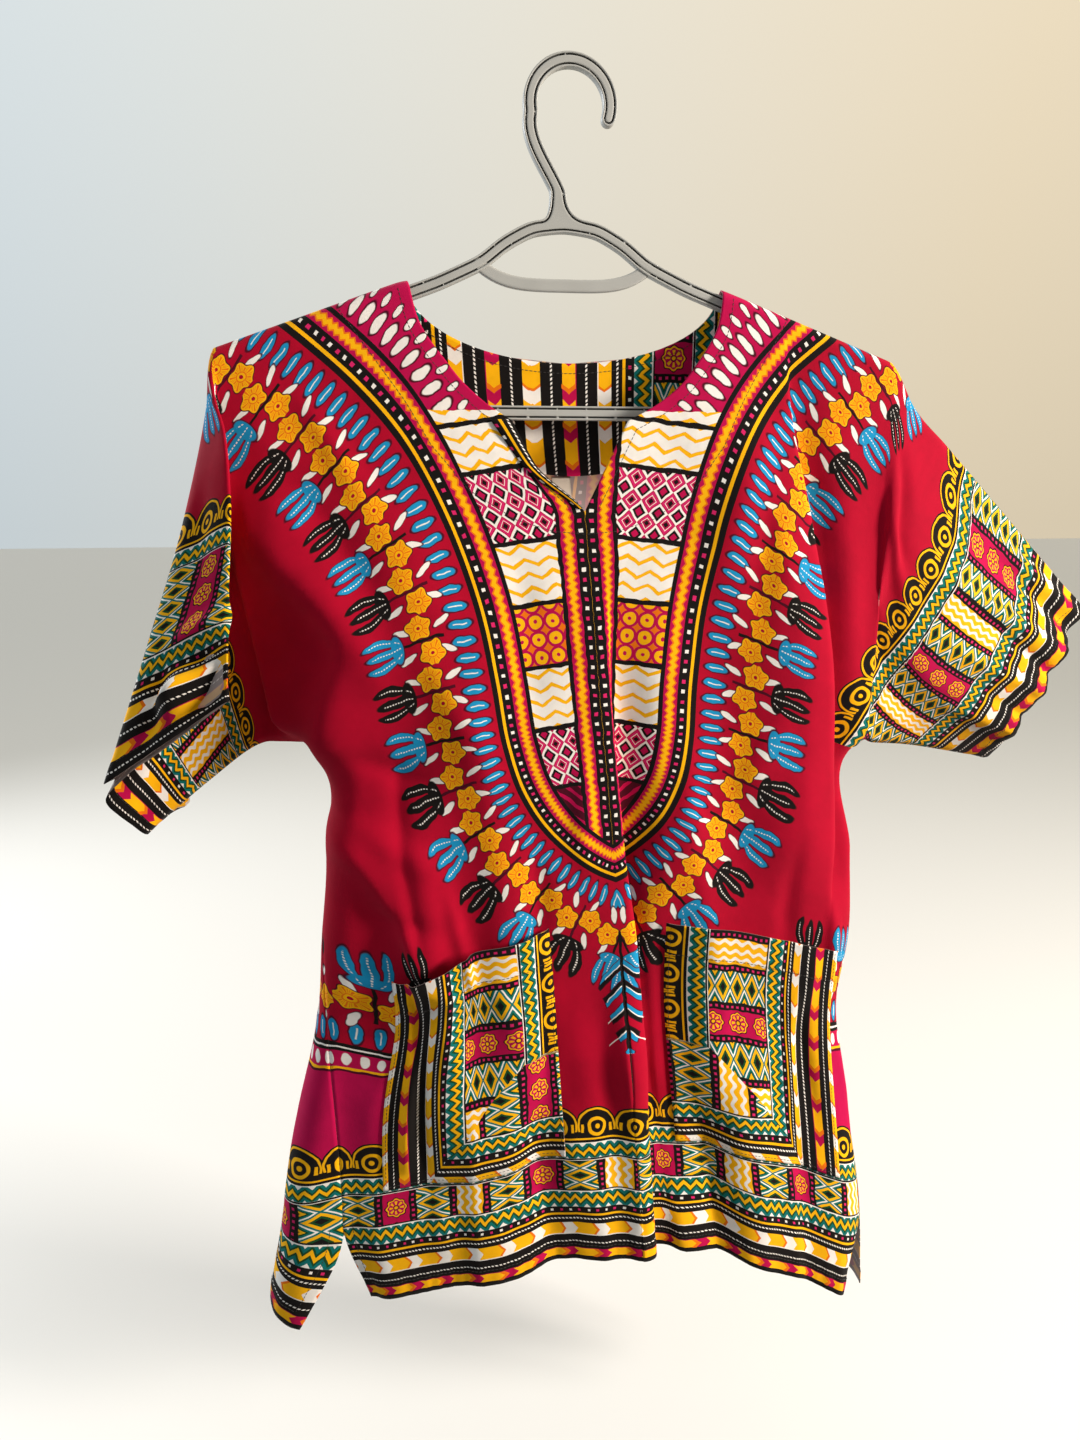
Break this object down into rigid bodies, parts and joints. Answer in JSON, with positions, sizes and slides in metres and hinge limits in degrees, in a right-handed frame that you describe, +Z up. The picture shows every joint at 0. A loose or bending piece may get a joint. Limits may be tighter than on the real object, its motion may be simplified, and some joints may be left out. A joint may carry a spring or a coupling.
{
  "type": "dashiki shirt on hanger",
  "caption": "Loose short-sleeved printed cotton dashiki shirt with a slit neck, patch pockets and side slits, hanging on a moulded plastic coat hanger.",
  "frame": {"origin": "inside top of the hanger's hook, where a rod or a peg carries it", "axes": "+Z up; the shirt's front faces -Y; +X is on the right of someone who looks at the front"},
  "size_m": [0.7509, 0.1662, 0.9085],
  "materials": {
    "print_cotton": "red wax-print cotton with a multicoloured border print",
    "facing_cotton": "black striped print cotton",
    "label_tape": "cream woven tape, blank",
    "hanger_plastic": "grey moulded plastic, slightly glossy"
  },
  "bodies": {
    "root": {"front": "print_cotton", "back": "print_cotton", "pocket_left": "print_cotton", "pocket_right": "print_cotton", "neck_facing_front": "facing_cotton", "neck_facing_back": "facing_cotton", "label": "label_tape", "hanger_hook": "hanger_plastic", "hanger_yoke": "hanger_plastic", "hanger_bar": "hanger_plastic", "hanger_sling": "hanger_plastic"}
  },
  "joints": []
}
